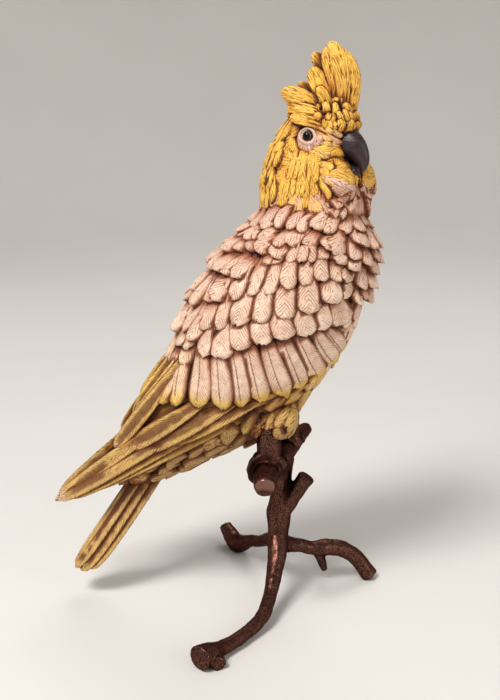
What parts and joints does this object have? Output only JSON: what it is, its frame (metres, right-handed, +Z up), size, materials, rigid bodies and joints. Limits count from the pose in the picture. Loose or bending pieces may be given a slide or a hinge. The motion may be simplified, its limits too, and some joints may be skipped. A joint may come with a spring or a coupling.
{
  "type": "bird figurine",
  "caption": "Painted cast-metal cockatoo figurine with a raised crest and folded wings, perched on a bare branch that stands on spreading root-like legs.",
  "frame": {"origin": "on the ground, under the middle of the figurine's bounding box", "axes": "+Z up, +X the way the bird's body faces, +Y towards the bird's left; the head is turned about 38 degrees from +X towards -Y"},
  "size_m": [0.1813, 0.1531, 0.3003],
  "materials": {
    "cold_paint": "cream, pink and yellow oil paint on bronze, with red-brown wash in the recesses",
    "brown_patina": "dark red-brown patina on bronze, waxed, worn brighter on the ridges"
  },
  "bodies": {
    "root": {"cockatoo": "cold_paint", "branch_stand": "brown_patina"}
  },
  "joints": []
}
